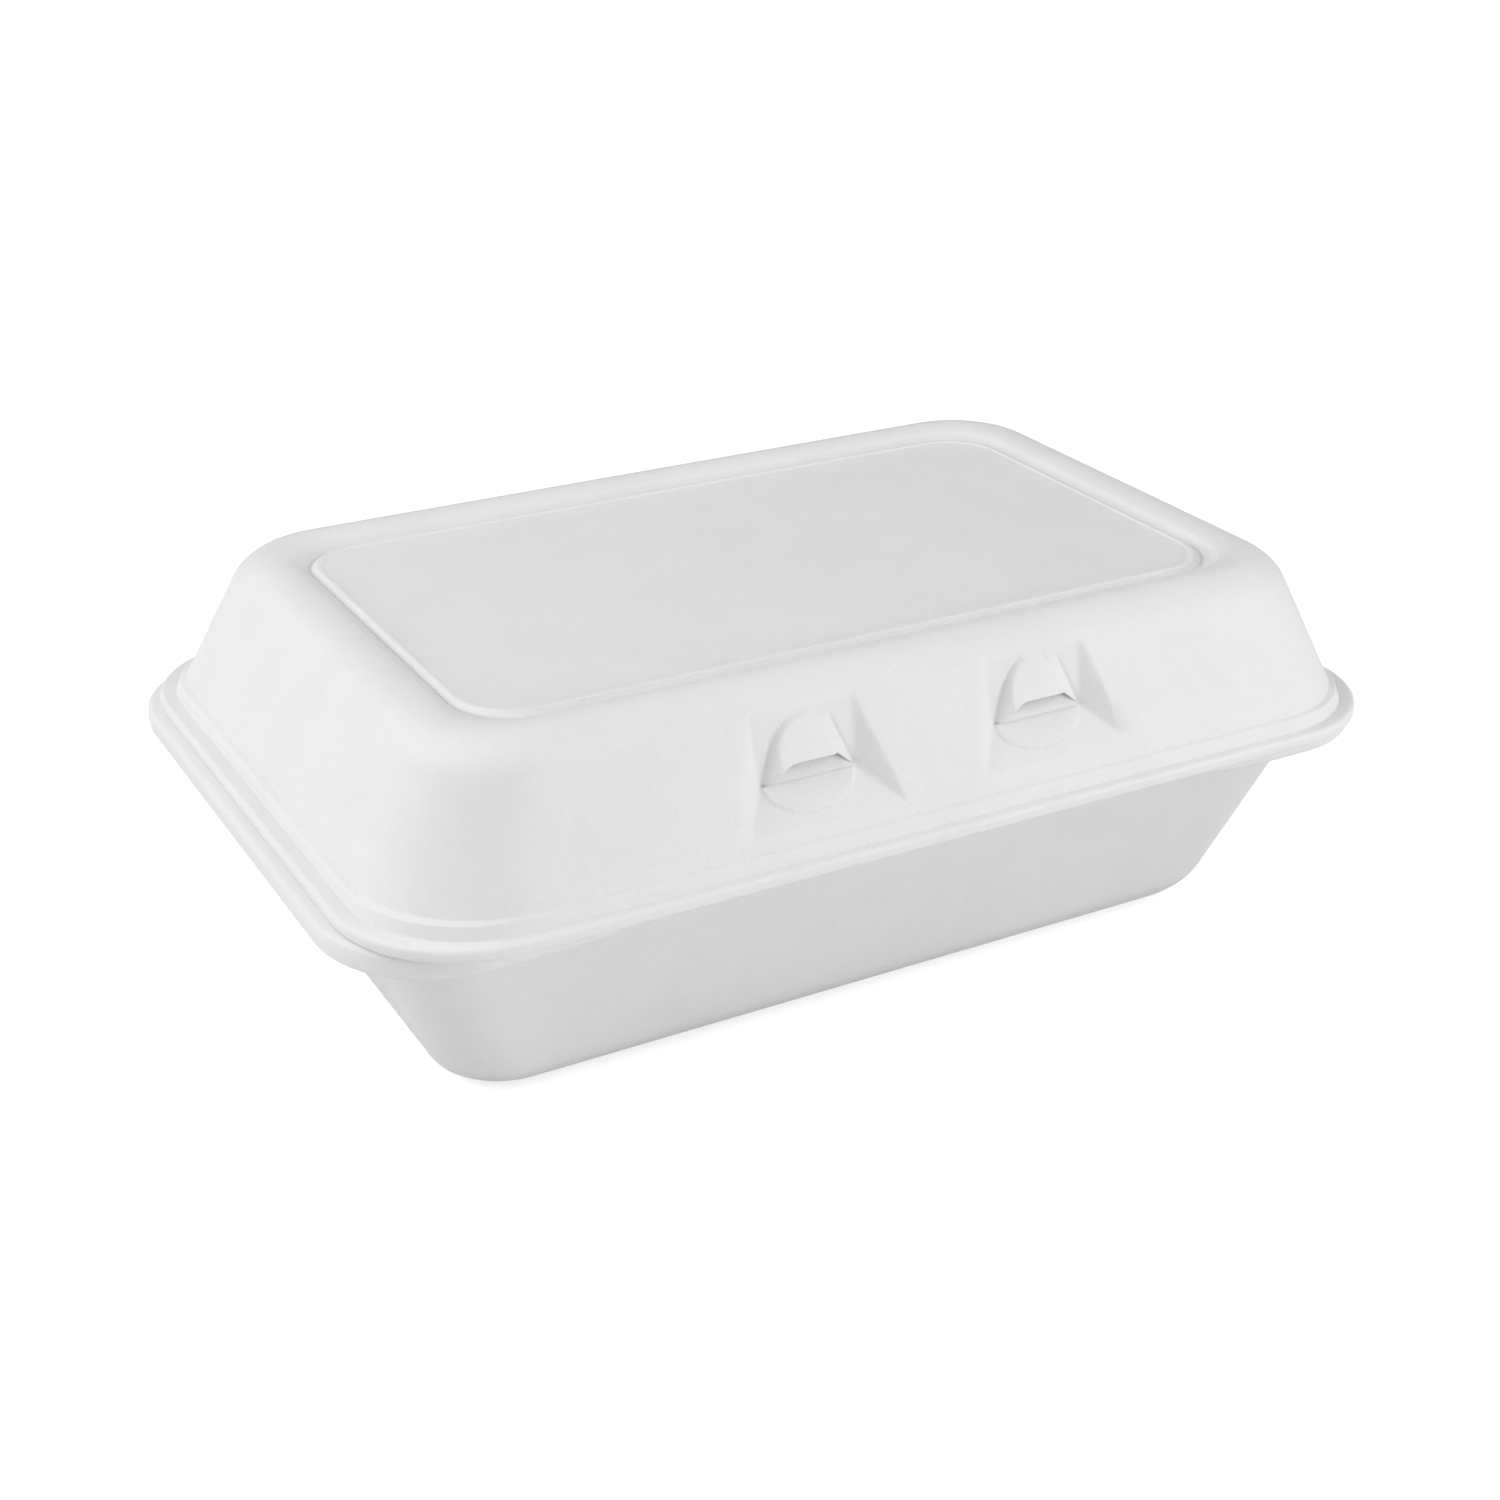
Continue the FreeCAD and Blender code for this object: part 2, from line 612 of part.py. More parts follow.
# The lid is one piece with its pockets, hoods and flaps.
pressed_outside = cut("pressed_outside", lid_outside, fuse("pocket_pair", pocket_cuts))
lid_form = fuse("lid_form", [pressed_outside] + hoods + flaps)
pressed_inside = cut("pressed_inside", lid_inside, fuse("pocket_back_pair", pocket_backs))
lid_void = fuse("lid_void", [pressed_inside] + hood_hollows)
lid_shell = cut("lid_shell", lid_form, lid_void)
lid = cut("lid", lid_shell, fuse("slit_pair", slits))

doc.recompute()
os.makedirs("parts", exist_ok=True)
for thing in doc.Objects:
    if "Invalid" in thing.State or "Error" in thing.State:
        raise RuntimeError(f"{thing.Label} could not be built: {thing.State}")
for piece in (base_tray, lid):
    shape = piece.Shape
    if shape.isNull() or not shape.isValid() or len(shape.Solids) != 1:
        raise RuntimeError(f"{piece.Label} is not one valid solid: {len(shape.Solids)}")
    box = shape.BoundBox
    print(f"{piece.Label}: {shape.Volume:.0f} mm3, z {box.ZMin:.2f} to {box.ZMax:.2f}")
for piece in (base_tray, lid):
    piece.Shape.exportStep(f"parts/{piece.Label}.step")
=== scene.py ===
import math

import bpy
import numpy as np
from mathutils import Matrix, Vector


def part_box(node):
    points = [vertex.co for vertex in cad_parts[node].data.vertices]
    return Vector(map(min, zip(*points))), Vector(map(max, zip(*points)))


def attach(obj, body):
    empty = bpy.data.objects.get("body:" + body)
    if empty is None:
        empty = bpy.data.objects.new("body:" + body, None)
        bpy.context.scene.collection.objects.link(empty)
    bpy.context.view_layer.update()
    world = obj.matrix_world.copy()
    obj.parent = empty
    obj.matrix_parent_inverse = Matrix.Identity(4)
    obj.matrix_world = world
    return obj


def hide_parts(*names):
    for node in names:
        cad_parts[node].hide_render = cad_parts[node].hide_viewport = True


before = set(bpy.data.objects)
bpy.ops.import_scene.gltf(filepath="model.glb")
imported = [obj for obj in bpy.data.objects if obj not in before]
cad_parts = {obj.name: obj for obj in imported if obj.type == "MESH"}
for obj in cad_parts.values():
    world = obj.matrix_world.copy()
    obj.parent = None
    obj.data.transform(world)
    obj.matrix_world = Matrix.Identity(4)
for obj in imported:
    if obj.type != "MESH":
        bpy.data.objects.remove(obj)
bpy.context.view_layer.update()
MM = 0.001

# The view: the shut box stands on a white table and is seen over its front left corner, from half a
# metre away and from above.
view_from = Vector((-222.2, -401.1, 254.6)) * MM
view_towards = Vector((-1.73, 0.99, 35.38)) * MM
frame_pixels = 1500
sensor_width = 36.0
focal_pixels = 2368.4
view_centre = (739.5, 746.7)
camera_data = bpy.data.cameras.new("photo_view")
camera_data.sensor_width = sensor_width
camera_data.lens = focal_pixels * sensor_width / frame_pixels
camera_data.shift_x = (frame_pixels / 2 - view_centre[0]) / frame_pixels
camera_data.shift_y = (view_centre[1] - frame_pixels / 2) / frame_pixels
camera = bpy.data.objects.new("photo_view", camera_data)
camera.location = view_from
camera.rotation_euler = (view_towards - view_from).to_track_quat("-Z", "Y").to_euler()
bpy.context.collection.objects.link(camera)
bpy.context.scene.camera = camera


# The foam: expanded polystyrene sheet, drawn over a mould while hot. Its skin is white and matt,
# with the fine grain of the beads showing through, and a slight cloudiness where beads differ.
foam_white = (0.87, 0.87, 0.868, 1.0)
foam_shade = (0.80, 0.80, 0.80, 1.0)
grain_pitch = 0.55
bead_pitch = 1.6
cloud_pitch = 14.0
grain_range = (0.40, 0.66)
cloud_range = (0.35, 0.70)
grain_shade = 0.35
cloud_shade = 0.25
skin_roughness = 0.42
grain_roughness = 0.16
grain_relief = 0.6
bead_relief = 0.4
relief_strength = 0.3
relief_depth = 0.2
foam_ior = 1.5
inner_light = 0.25
inner_light_reach = 3.0


class Wire:
    """A shader socket that can be used in arithmetic: each operator adds one Math node."""

    def __init__(self, tree, socket):
        self.tree = tree
        self.socket = socket

    def node(self, kind, settings=None, output=0, **sockets):
        """Adds a node of this kind, sets it up, and fills its sockets with numbers or links. A
        socket is given by its name, or by an underscore and its number."""
        new = self.tree.nodes.new(kind)
        for name, value in (settings or {}).items():
            setattr(new, name, value)
        for name, value in sockets.items():
            key = int(name[1:]) if name[0] == "_" else name
            if isinstance(value, Wire):
                self.tree.links.new(value.socket, new.inputs[key])
            else:
                new.inputs[key].default_value = value
        return Wire(self.tree, new.outputs[output])

    def maths(self, operation, first, second):
        """Adds a Math node that does this operation on two values."""
        return self.node("ShaderNodeMath", {"operation": operation}, _0=first, _1=second)

    def __add__(self, other):
        return self.maths("ADD", self, other)

    def __radd__(self, other):
        return self.maths("ADD", other, self)

    def __mul__(self, other):
        return self.maths("MULTIPLY", self, other)

    def __rmul__(self, other):
        return self.maths("MULTIPLY", other, self)


def ramp(wire, low, high):
    """0 below low, 1 above high and a smooth rise between."""
    return wire.node("ShaderNodeMapRange", {"interpolation_type": "SMOOTHSTEP"},
                     _0=wire, _1=low, _2=high, _3=0.0, _4=1.0)


def foam_material():
    """Matt white foam. The colour goes from white to shade by the sum of a ramp on the clouds and a
    ramp on the grain, the roughness rises with the grain, and grain and beads make the relief."""
    material = bpy.data.materials.new("foam")
    material.use_nodes = True
    tree = material.node_tree
    shader = tree.nodes["Principled BSDF"]
    place = Wire(tree, None).node("ShaderNodeTexCoord", output=3)
    grain = place.node("ShaderNodeTexNoise", Vector=place,
                       Scale=1 / (grain_pitch * MM), Detail=3.0, Roughness=0.6)
    beads = place.node("ShaderNodeTexVoronoi", {"feature": "F1"}, Vector=place, Scale=1 / (bead_pitch * MM))
    cloud = place.node("ShaderNodeTexNoise", Vector=place,
                       Scale=1 / (cloud_pitch * MM), Detail=2.0, Roughness=0.5)
    tone = ramp(cloud, *cloud_range) * cloud_shade + ramp(grain, *grain_range) * grain_shade
    colour = place.node("ShaderNodeMix", {"data_type": "RGBA"}, output=2,
                        _0=tone, _6=foam_white, _7=foam_shade)
    tree.links.new(colour.socket, shader.inputs["Base Color"])
    tree.links.new((skin_roughness + grain_roughness * grain).socket, shader.inputs["Roughness"])
    relief = place.node("ShaderNodeBump", Strength=relief_strength, Distance=relief_depth * MM,
                        Height=grain * grain_relief + beads * bead_relief)
    tree.links.new(relief.socket, shader.inputs["Normal"])
    shader.inputs["IOR"].default_value = foam_ior
    shader.inputs["Subsurface Weight"].default_value = inner_light
    shader.inputs["Subsurface Radius"].default_value = (1.0, 1.0, 1.0)
    shader.inputs["Subsurface Scale"].default_value = inner_light_reach * MM
    return material


foam = foam_material()


# The lid: the upper half of the moulded sheet. Its rim rests on the tray's, its walls lean in to a
# broad rounded crest, and the top panel lies sunk inside a shallow valley with a fine bead round it.
# Two locks are pressed into its front wall, each with a hood and a slit that takes a tongue.
sheet = 2.2
sides = ("end", "front", "back")
lid_low, lid_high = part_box("lid")
seat_level = lid_low[2] / MM
crest_level = lid_high[2] / MM
lid_reaches = (lid_high[0] / MM, -lid_low[1] / MM, lid_high[1] / MM)
lid_corner = 25.8
lid_corner_by_inset = ((0.0, lid_corner), (2.35, 24.4), (14.0, 18.6), (20.5, 12.85), (25.0, 12.2),
                       (28.5, 11.6), (50.0, 6.0))
lock_middles = (-25.6, 25.2)
lock_zone = 19.0
lock_stop = 0.34
plain_stop = 2.6
end_count = 30
back_count = 40
corner_count = 14


def front_places():
    """Stops along the front from -1 to 1, close together at the locks and further apart elsewhere."""
    reach = lid_reaches[0] - lid_corner
    x = [-reach]
    while x[-1] < reach - plain_stop:
        near = min(abs(x[-1] - middle) for middle in lock_middles)
        x.append(x[-1] + (lock_stop if near < lock_zone else plain_stop))
    return np.array(x) / reach


def even_places(count):
    """Evenly spaced stops from -1 to 1, without the last."""
    return np.linspace(-1, 1, count, endpoint=False)


def around(front, ends, back, count):
    """Places round a rounded rectangle, as four arrays. A side that faces (u, v) holds the points
    (u - s v, v + s u) for its stops s from -1 to 1, then waits at s = 1 while the outward direction
    turns through the corner's quarter circle. The last two arrays are that direction."""
    turn = np.linspace(0, math.pi / 2, count, endpoint=False)
    places = []
    for stops, u, v in ((front, 0, -1), (ends, 1, 0), (back, 0, 1), (ends, -1, 0)):
        s = np.concatenate([stops, np.ones(count)])
        facing = math.atan2(v, u) + np.concatenate([np.zeros(len(stops)), turn])
        places.append([u - s * v, v + s * u, np.cos(facing), np.sin(facing)])
    return np.concatenate(places, axis=1)


lid_places = around(front_places(), even_places(end_count), even_places(back_count), corner_count)

wall_lean = {"end": 0.438, "front": 0.381, "back": 0.453}
seat_width = 7.0
flange_height = 2.65
step_height = 2.6
step_run = 0.75
ledge_width = {"end": 1.4, "front": 0.65, "back": 0.8}
ledge_height = 0.45
rim_rounds = (0.5, 1.0, 0.3, 0.5, 0.5)
rim_steps = ((3, 4), (1, 6), (1, 4), (2, 4), (1, 4), (50, 0))
crest_inset = {"end": 23.2, "front": 20.0, "back": 22.4}
crest_round = 8.85
crest_past_top = 24.0
crest_count = 14
valley_depth = 2.3
valley_run = 5.2
panel_inset = {"end": 30.1, "front": 27.9, "back": 30.2}
panel_drop = 1.66
panel_run = 22.0
bevel_slope = 1.2
bead_height = 0.3
bead_width = 0.9
bead_sides = (0.1, 0.35)
bead_foot = 0.02
top_rounds = (3.0, 1.4, 0.25, 0.15, 0.2, 0.3)
top_steps = ((3, 6), (1, 4), (2, 2), (1, 2), (1, 2), (1, 2), (4, 0))


def line(start, end, count):
    """Evenly spaced points from start to end, without the first."""
    t = np.linspace(0, 1, count + 1)[1:, None]
    return np.asarray(start) * (1 - t) + np.asarray(end) * t


def rounded(points, radii, steps):
    """A bent line through the points, with each corner replaced by an arc that touches both its
    straights. A corner has its own radius, and steps gives how many for its straight and its arc."""
    points = [np.asarray(p, float) for p in points]
    out = [points[0][None, :]]
    for k, radius in enumerate(radii):
        before, here, after = points[k:k + 3]
        d0 = (before - here) / np.linalg.norm(before - here)
        d1 = (after - here) / np.linalg.norm(after - here)
        half = math.acos(np.clip(d0 @ d1, -1, 1)) / 2
        start, end = [here + d * radius / math.tan(half) for d in (d0, d1)]
        centre = here + (d0 + d1) / np.linalg.norm(d0 + d1) * radius / math.sin(half)
        out.append(line(out[-1][-1], start, steps[k][0]))
        a0, a1 = [math.atan2(*(p - centre)[::-1]) for p in (start, end)]
        sweep = (a1 - a0 + math.pi) % (2 * math.pi) - math.pi
        turn = a0 + sweep * np.linspace(0, 1, steps[k][1] + 1)[1:]
        out.append(centre + radius * np.stack([np.cos(turn), np.sin(turn)], -1))
    out.append(line(out[-1][-1], points[-1], steps[-1][0]))
    return np.concatenate(out)


def over_crest(side, radius, past_top, count):
    """Points over the crest, centre + radius * (-cos a, sin a), for the angle a from the wall's lean
    to past_top degrees beyond the top. The first is where the wall touches the crest."""
    outward = math.degrees(math.atan(wall_lean[side]))
    centre = np.array([crest_inset[side], crest_level - crest_round])
    turn = np.radians(np.linspace(0, 1, count + 1) * (90 - outward + past_top) + outward)
    return centre + radius * np.stack([-np.cos(turn), np.sin(turn)], -1)


def lid_section(side):
    """The outer section of one side, from the seat's inner edge under the rim, over the rim, the
    wall, the crest and the valley to the flat panel. Each point is an inset and a height."""
    over = over_crest(side, crest_round, crest_past_top, crest_count)
    flange = seat_level + flange_height
    step = flange + step_height
    ledge = step + ledge_height
    wall_foot = over[0, 0] - (over[0, 1] - ledge) * wall_lean[side]
    step_top = wall_foot - ledge_width[side]
    rim = rounded([(seat_width, seat_level), (0.0, seat_level), (0.0, flange), (step_top - step_run, flange),
                   (step_top, step), (wall_foot, ledge), over[0]], rim_rounds, rim_steps)
    valley, panel = crest_level - valley_depth, crest_level - panel_drop
    bead = panel + bead_height
    edge = panel_inset[side]
    inner = rounded([over[-1], (crest_inset[side] + valley_run, valley),
                     (edge - (panel - valley) * bevel_slope, valley), (edge, panel),
                     (edge + bead_sides[0], bead), (edge + bead_width, bead),
                     (edge + bead_width + bead_sides[1], panel - bead_foot), (edge + panel_run, panel)],
                    top_rounds, top_steps)
    return np.concatenate([rim, over[1:], inner[1:]])


inner_rim_height = 2.9
inner_rim_rounds = (3.0,)
inner_rim_steps = ((2, 4), (10, 0))
inner_crest_count = 8
inner_valley_run = 3.4
inner_panel_shift = 1.0
inner_panel_rise = 0.6
inner_bevel_run = 2.0
inner_top_rounds = (1.0, 2.0, 1.0)
inner_top_steps = ((1, 4), (1, 3), (1, 3), (4, 0))


def lid_inner_section(side):
    """The same walls a sheet's thickness further in, from the seat's inner edge to the panel's
    underside, where the bead and the rim's steps don't show."""
    over = over_crest(side, crest_round - sheet, 0.0, inner_crest_count)
    rim = seat_level + inner_rim_height
    wall_foot = over[0, 0] - (over[0, 1] - rim) * wall_lean[side]
    wall = rounded([(seat_width, seat_level), (wall_foot, rim), over[0]], inner_rim_rounds, inner_rim_steps)
    valley = crest_level - valley_depth - sheet
    edge, panel = panel_inset[side] + inner_panel_shift, valley + inner_panel_rise
    inner = rounded([over[-1], (crest_inset[side] + inner_valley_run, valley),
                     (edge - inner_bevel_run, valley), (edge, panel),
                     (edge + panel_run - inner_panel_shift, panel)], inner_top_rounds, inner_top_steps)
    return np.concatenate([wall[1:], over[1:], inner[1:]])


crease_levels = (63.95, 64.95)
crease_half = 10.05
crease_depth = 2.8
crease_blend = 0.3
edge_blend = 0.22
pocket_top_halves = (11.2, 10.6)
pocket_top_rise = 14.2
pocket_foot_halves = (14.9, 18.6)
pocket_foot_drop = 7.4
pocket_levels = (53.0, 79.5)
tent_rise = 11.5
tent_taper = 0.5
tent_reach = 0.8
tent_blend = 0.25
tent_fade = 0.45
flank_share = 0.40
hood_middles = (-1.5, -0.5)
hood_halves = (8.0, 5.4)
hood_reaches = (1.7, 3.0)
hood_power = 2.3
hood_crown = 4
hood_hang = 0.7
streak_depth = 0.3
streak_width = 0.06
streak_fade = 0.3
mouth_height = 3.8
mouth_slopes = (6.0, 4.4)
mouth_blends = (0.1, 0.2)
mouth_stops = 61
mouth_cut = (-5.0, 9.0)
disc_half = 10.05
disc_drop = 5.3
disc_proud = 0.4
disc_edge = 0.07


def smooth(t):
    """0 at t = 0, 1 at t = 1, level at both ends: 3 t^2 - 2 t^3."""
    t = np.clip(t, 0.0, 1.0)
    return t * t * (3 - 2 * t)


def soft_min(a, b, blend):
    """The lesser of two surfaces, with the crease between them rounded over a distance: where they
    are nearer than blend, they are mixed by how far a lies under b, and the mix is lowered most
    where they cross."""
    near = np.clip(0.5 + 0.5 * (b - a) / blend, 0.0, 1.0)
    return b * (1 - near) + a * near - blend * near * (1 - near)


def soft_max(a, b, blend):
    """The greater of two surfaces, with the crease between them rounded over a distance."""
    return -soft_min(-a, -b, blend)


def wall_at(height):
    """Where the plain front wall stands at a height: a straight line down from the crest, as y."""
    inset, level = over_crest("front", crest_round, 0.0, 1)[0]
    return inset - lid_reaches[1] + (height - level) * wall_lean["front"]


def mouth_rise(x):
    """The height of the hood's lip over the crease: a straight slope up from each of the crease's
    ends, and level between them."""
    left = (x + crease_half) / mouth_slopes[0]
    right = (crease_half - x) / mouth_slopes[1]
    return mouth_height * soft_min(soft_min(left, right, mouth_blends[0]), 1.0, mouth_blends[1])


def pocket_end(top_half, foot_half, crease_z):
    """A pocket's end: the plane through its top corner, the crease's end and its foot corner, given
    as the two slopes and the constant of y = a * across + b * z + c."""
    top_z, foot_z = crease_z + pocket_top_rise, crease_z - pocket_foot_drop
    corners = np.array([[top_half, top_z, 1.0], [crease_half, crease_z, 1.0], [foot_half, foot_z, 1.0]])
    return np.linalg.solve(corners, [wall_at(top_z), wall_at(crease_z) + crease_depth, wall_at(foot_z)])


def pocket(across, right, z, crease_z):
    """A pocket's depth: the shallowest of four planes through its edges, upper, lower and the end on
    this side, with the creases between them rounded."""
    crease_y = wall_at(crease_z) + crease_depth
    upper = crease_y + (z - crease_z) * (wall_at(crease_z + pocket_top_rise) - crease_y) / pocket_top_rise
    lower = crease_y + (z - crease_z) * (crease_y - wall_at(crease_z - pocket_foot_drop)) / pocket_foot_drop
    planes = np.array([pocket_end(top_half, foot_half, crease_z)
                       for top_half, foot_half in zip(pocket_top_halves, pocket_foot_halves)])
    slope, rise, constant = np.take(planes, right.astype(int), axis=0).transpose(2, 0, 1)
    end = slope * across + rise * z + constant
    return soft_min(soft_min(upper, lower, crease_blend), end, crease_blend)


def hood(x, z):
    """How far a hood stands out, with t the height as a share of its rise and x from its middle. It
    is a tent with sloping flanks, whose half width is crease_half * (1 - taper * t), and on it a
    dome, reach * sqrt(1 - |x / half|^power - t^crown), fuller on the right. A narrow groove, a bell
    curve across, runs up the tent's right edge."""
    t = np.clip(z / tent_rise, 0, 1)
    tent_half = crease_half * (1 - tent_taper * t)
    flank = np.clip((1 - np.abs(x) / tent_half) / flank_share, 0, 2)
    tent = tent_reach * soft_min(flank, 1.0, tent_blend) * smooth((1.0 - t) / tent_fade)
    middle, half = [low + (high - low) * t for low, high in (hood_middles, hood_halves)]
    inside = 1 - np.abs((x - middle) / half) ** hood_power - t ** hood_crown
    dome = np.interp(x, (-crease_half, crease_half), hood_reaches) * np.sqrt(np.clip(inside, 0, 1))
    aside = (np.abs(x) / tent_half - 1) / streak_width
    streak = streak_depth * np.exp(-aside ** 2) * (x > 0) * smooth((1.0 - t) / streak_fade)
    return tent + dome - streak


def disc(x, z):
    """The faint half round flap under the crease: a raised half ellipse with a soft edge."""
    ring = np.hypot(x / disc_half, z / disc_drop)
    return disc_proud * smooth((1.0 - ring) / disc_edge) * (z < 0)


def pressed(x, y, z):
    """The front wall's depth with the locks pressed in: the deeper of the wall and the pocket, less
    the hood over the mouth's lip and less the disc below it."""
    for middle, crease_z in zip(lock_middles, crease_levels):
        along, over = x - middle, z - crease_z
        depth = pocket(np.abs(along), along > 0, z, crease_z)
        lip = np.maximum(mouth_rise(along) - hood_hang, 0)
        depth = depth - np.where(over > lip, hood(along, over), disc(along, over))
        y = np.where(np.abs(along) < lock_zone, soft_max(y, depth, edge_blend), y)
    return y


def tube_faces(rows, columns):
    """The faces of a closed tube of rows and columns: four-sided, and one flat face at each end."""
    index = np.arange(rows * columns).reshape(rows, columns)
    after = np.roll(index, -1, axis=1)
    quads = np.stack([index[:-1], index[1:], after[1:], after[:-1]], -1).reshape(-1, 4)
    return quads.tolist() + [index[0].tolist(), index[-1][::-1].tolist()]


def grid_mesh(name, points):
    """A smooth mesh of rows of points, each row closed on itself and the first and last filled."""
    mesh = bpy.data.meshes.new(name)
    mesh.from_pydata((points.reshape(-1, 3) * MM).tolist(), [], tube_faces(*points.shape[:2]))
    mesh.polygons.foreach_set("use_smooth", np.ones(len(mesh.polygons), dtype=bool))
    mesh.update()
    return mesh


def mouth(middle, crease_z):
    """A solid as tall as the opening between the crease and the hood's lip, right through the wall:
    the opening's outline, low edge then lip, carried from the front to the back."""
    x = np.linspace(-crease_half, crease_half, mouth_stops)[1:-1]
    low, lip = [np.stack([x + middle, 0 * x, crease_z + rise], -1) for rise in (0 * x, mouth_rise(x))]
    outline = np.concatenate([low, lip[::-1]])
    depths = [wall_at(crease_z) + depth for depth in mouth_cut]
    rows = np.stack([outline + (0, depth, 0) for depth in depths])
    solid = bpy.data.objects.new("mouth", bpy.data.meshes.new("mouth"))
    solid.data.from_pydata((rows.reshape(-1, 3) * MM).tolist(), [], tube_faces(*rows.shape[:2]))
    bpy.context.collection.objects.link(solid)
    return solid


def swept_rings(places, sections, reaches, corner):
    """A surface carried round the places: each row is a rounded rectangle, whose inset and height are
    given by the sections of the ends, the front and the back. In a corner that faces (u, v) the
    height is u^2 * end + v^2 * front or back."""
    sx, sy, nx, ny = places[:, None, :]
    end, front, back = [reach - section[:, :1] for reach, section in zip(reaches, sections)]
    end_level, front_level, back_level = [section[:, 1:] for section in sections]
    corner = corner[:, None]
    to_front = (1 - sy) / 2
    x = sx * (end - corner) + corner * nx
    y = to_front * (corner - front) + (1 - to_front) * (back - corner) + corner * ny
    z = nx ** 2 * end_level + ny ** 2 * np.where(ny < 0, front_level, back_level)
    return np.stack([x, y, z], -1)


def lid_rows():
    """The lid's surface from the middle of the top panel, over the outside, round the rim and back
    along the inside to the middle of the panel's underside, with the locks pressed into both."""
    outer = [lid_section(side)[::-1] for side in sides]
    inner = [lid_inner_section(side) for side in sides]
    inset, corner = np.array(lid_corner_by_inset).T
    outside = swept_rings(lid_places, outer, lid_reaches, np.interp(outer[1][:, 0], inset, corner))
    inside = swept_rings(lid_places, inner, lid_reaches, np.interp(inner[1][:, 0] - sheet, inset, corner))
    for surface, shift in ((outside, 0.0), (inside, sheet * math.hypot(1, wall_lean["front"]))):
        x, y, z = surface[..., 0], surface[..., 1], surface[..., 2]
        by_locks = (y < 0) & (np.abs(x) < lock_middles[1] + lock_zone)
        by_locks = by_locks & (z > pocket_levels[0]) & (z < pocket_levels[1])
        surface[..., 1] = np.where(by_locks, pressed(x, y - shift, z) + shift, y)
    return np.concatenate([outside, inside])


def foam_piece(name, mesh):
    """Puts a mesh into the scene as an object of foam."""
    piece = bpy.data.objects.new(name, mesh)
    bpy.context.collection.objects.link(piece)
    piece.data.materials.append(foam)
    return piece


sharp_edge = math.radians(38)

cover = foam_piece("cover_shell", grid_mesh("cover_shell", lid_rows()))
cutters = [mouth(middle, crease_z) for middle, crease_z in zip(lock_middles, crease_levels)]
for cutter in cutters:
    cut = cover.modifiers.new("mouth", "BOOLEAN")
    cut.operation = "DIFFERENCE"
    cut.solver = "EXACT"
    cut.object = cutter
cut_shell = cover.evaluated_get(bpy.context.evaluated_depsgraph_get())
cover.data = bpy.data.meshes.new_from_object(cut_shell)
cover.modifiers.clear()
cover.data.set_sharp_from_angle(angle=sharp_edge)
for cutter in cutters:
    bpy.data.objects.remove(cutter)
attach(cover, "cover")
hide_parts("lid")


# The tray: the deeper half of the same foam sheet, a tapered cavity with a level rim. The rim's edge
# is turned down into a lip, which fades out along the front, where the lid reaches over it.
tray_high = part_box("base_tray")[1]
tray_reaches = (tray_high[0] / MM, tray_high[1] / MM, tray_high[1] / MM)
tray_side_counts = (60, 40, 40)
tray_corner_count = 16
tray_places = around(*[even_places(count) for count in tray_side_counts], tray_corner_count)
tray_corner_by_inset = ((0.0, 23.5), (8.8, 14.6), (23.6, 13.4), (46.0, 6.0))
rim_gap = 0.15
rim_level = seat_level - rim_gap
lip_drop = 2.6
lip_left = 0.1
lip_fade = (50.0, 32.0)
lip_zone = 0.6
wall_inset = 8.8
floor_inset = {"end": 26.8, "front": 23.6, "back": 23.6}
floor_run = 22.0
floor_round = 12.0
tray_rounds = (floor_round - sheet, 1.4, 1.3, 0.8, 0.6, 0.5, 1.2, floor_round)
tray_steps = ((4, 12), (16, 5), (4, 5), (1, 4), (1, 3), (1, 2), (2, 4), (16, 14), (4, 0))


def tray_section(side):
    """The tray's section on one side, from the cavity's floor up its wall, over the rim, round the
    lip and down the outside to the floor's underside. Each point is an inset and a height."""
    under = rim_level - sheet
    lip = under - lip_drop
    foot = floor_inset[side]
    lean = (foot - wall_inset) / under
    step = sheet * (math.hypot(1, lean) - lean)
    inside = [(foot + floor_run, sheet), (foot + step, sheet), (wall_inset + step - sheet * lean, rim_level)]
    rim = [(0.0, rim_level), (0.0, lip), (sheet, lip), (sheet, under)]
    outside = [(wall_inset, under), (foot, 0.0), (foot + floor_run, 0.0)]
    return rounded(inside + rim + outside, tray_rounds, tray_steps)


def tray_rows():
    """The tray's surface from the middle of the cavity's floor to the middle of its underside. Along
    the front the lip keeps the share lip_left of its drop, and smoothly all of it past lip_fade."""
    sections = [tray_section(side) for side in sides]
    insets = sections[1][:, 0]
    inset, corner = np.array(tray_corner_by_inset).T
    surface = swept_rings(tray_places, sections, tray_reaches, np.interp(insets, inset, corner))
    x, y, z = surface[..., 0], surface[..., 1], surface[..., 2]
    under = rim_level - sheet
    keep = lip_left + (1 - lip_left) * smooth((np.abs(x) - lip_fade[0]) / lip_fade[1])
    keep = np.where(y < 0, keep, 1.0)
    on_lip = (z < under) & (np.minimum(sections[0][:, 0], insets) < sheet + lip_zone)[:, None]
    surface[..., 2] = np.where(on_lip, under - (under - z) * keep, z)
    return surface


tray = foam_piece("tray_shell", grid_mesh("tray_shell", tray_rows()))
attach(tray, "base")
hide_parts("base_tray")


